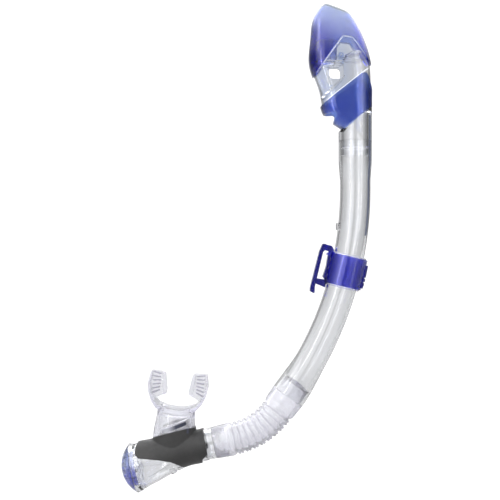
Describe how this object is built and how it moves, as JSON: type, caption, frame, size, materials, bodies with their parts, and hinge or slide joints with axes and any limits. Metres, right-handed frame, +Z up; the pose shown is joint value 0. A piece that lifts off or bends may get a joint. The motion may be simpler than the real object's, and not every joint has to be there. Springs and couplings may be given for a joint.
{
  "type": "snorkel tube",
  "caption": "Curved clear snorkel with a dry top, strap keeper, ribbed drop-away hose, flared purge chamber and U-shaped silicone mouthpiece.",
  "frame": {"origin": "middle of the mask-strap slot in the keeper", "axes": "+Z up the barrel towards the dry top, +X from the mouth end towards the barrel, +Y across the plane the snorkel is symmetric about"},
  "size_m": [0.2301, 0.0452, 0.4467],
  "materials": {
    "clear_plastic": "polished clear polycarbonate",
    "tinted_plastic": "polished translucent blue polycarbonate",
    "clear_silicone": "satin clear silicone",
    "soft_charcoal": "matte soft-touch elastomer",
    "float_foam": "matte hollow moulding",
    "steel_pin": "drawn stainless pin",
    "seal_black": "moulded seal"
  },
  "bodies": {
    "barrel": {"barrel": "clear_plastic", "valve_housing": "clear_plastic", "top_cap": "tinted_plastic", "splash_skirt": "tinted_plastic", "neck_seal": "clear_silicone", "valve_seat": "clear_silicone", "flap_pin": "steel_pin", "flex_hose": "clear_silicone"},
    "float": {"float": "float_foam"},
    "flap": {"flap_lever": "clear_plastic", "flap_disc": "clear_silicone"},
    "keeper_liner": {"keeper_liner": "clear_silicone"},
    "keeper": {"keeper_ring": "tinted_plastic", "gate_pin": "tinted_plastic"},
    "strap_gate": {"strap_gate": "tinted_plastic"},
    "hose_end": {"swivel_collar": "clear_plastic", "swivel_seal": "seal_black"},
    "mouth_unit": {"purge_chamber": "clear_plastic", "grip_cover": "soft_charcoal", "mouthpiece": "clear_silicone", "cap_ring": "clear_plastic", "purge_cap": "tinted_plastic", "purge_seat": "clear_plastic"},
    "purge_valve": {"purge_diaphragm": "clear_silicone"}
  },
  "joints": [
    {"name": "float_rise", "type": "slide", "parent": "barrel", "child": "float", "axis": [0, 0, 1], "range_m": [0, 0.00375]},
    {"name": "flap_swing", "type": "hinge", "parent": "barrel", "child": "flap", "pos_m": [0.0169, 0, 0.193], "axis": [0, 1, 0], "range_deg": [0, 18]},
    {"name": "keeper_slide", "type": "hinge", "parent": "barrel", "child": "keeper_liner", "pos_m": [-0.29171, 0, 0.07003], "axis": [0, 1, 0], "range_deg": [-3.4, 11.4]},
    {"name": "keeper_turn", "type": "hinge", "parent": "keeper_liner", "child": "keeper", "pos_m": [0.02139, 0, -0.00514], "axis": [0.2334, 0, 0.9724], "continuous": true},
    {"name": "gate_open", "type": "hinge", "parent": "keeper", "child": "strap_gate", "pos_m": [0.00667, 0, 0.01578], "axis": [0, 1, 0], "range_deg": [0, 75]},
    {"name": "hose_flex", "type": "hinge", "parent": "barrel", "child": "hose_end", "pos_m": [-0.0562, 0, -0.15364], "axis": [0, 1, 0], "range_deg": [-35, 25], "stiffness_Nm_per_rad": 0.5, "springref_deg": 4.98, "deforming": ["flex_hose"]},
    {"name": "chamber_twist", "type": "hinge", "parent": "hose_end", "child": "mouth_unit", "pos_m": [-0.09956, 0, -0.16285], "axis": [-0.9781, 0, -0.2079], "range_deg": [-45, 45]},
    {"name": "purge_lift", "type": "slide", "parent": "mouth_unit", "child": "purge_valve", "axis": [-0.9781, 0, -0.2079], "range_m": [0, 0.002], "stiffness_N_per_m": 40, "springref_m": -0.0005}
  ],
  "couplings": [
    {"joint": "flap_swing", "follows": "float_rise", "rad_per_m": 83.7}
  ]
}
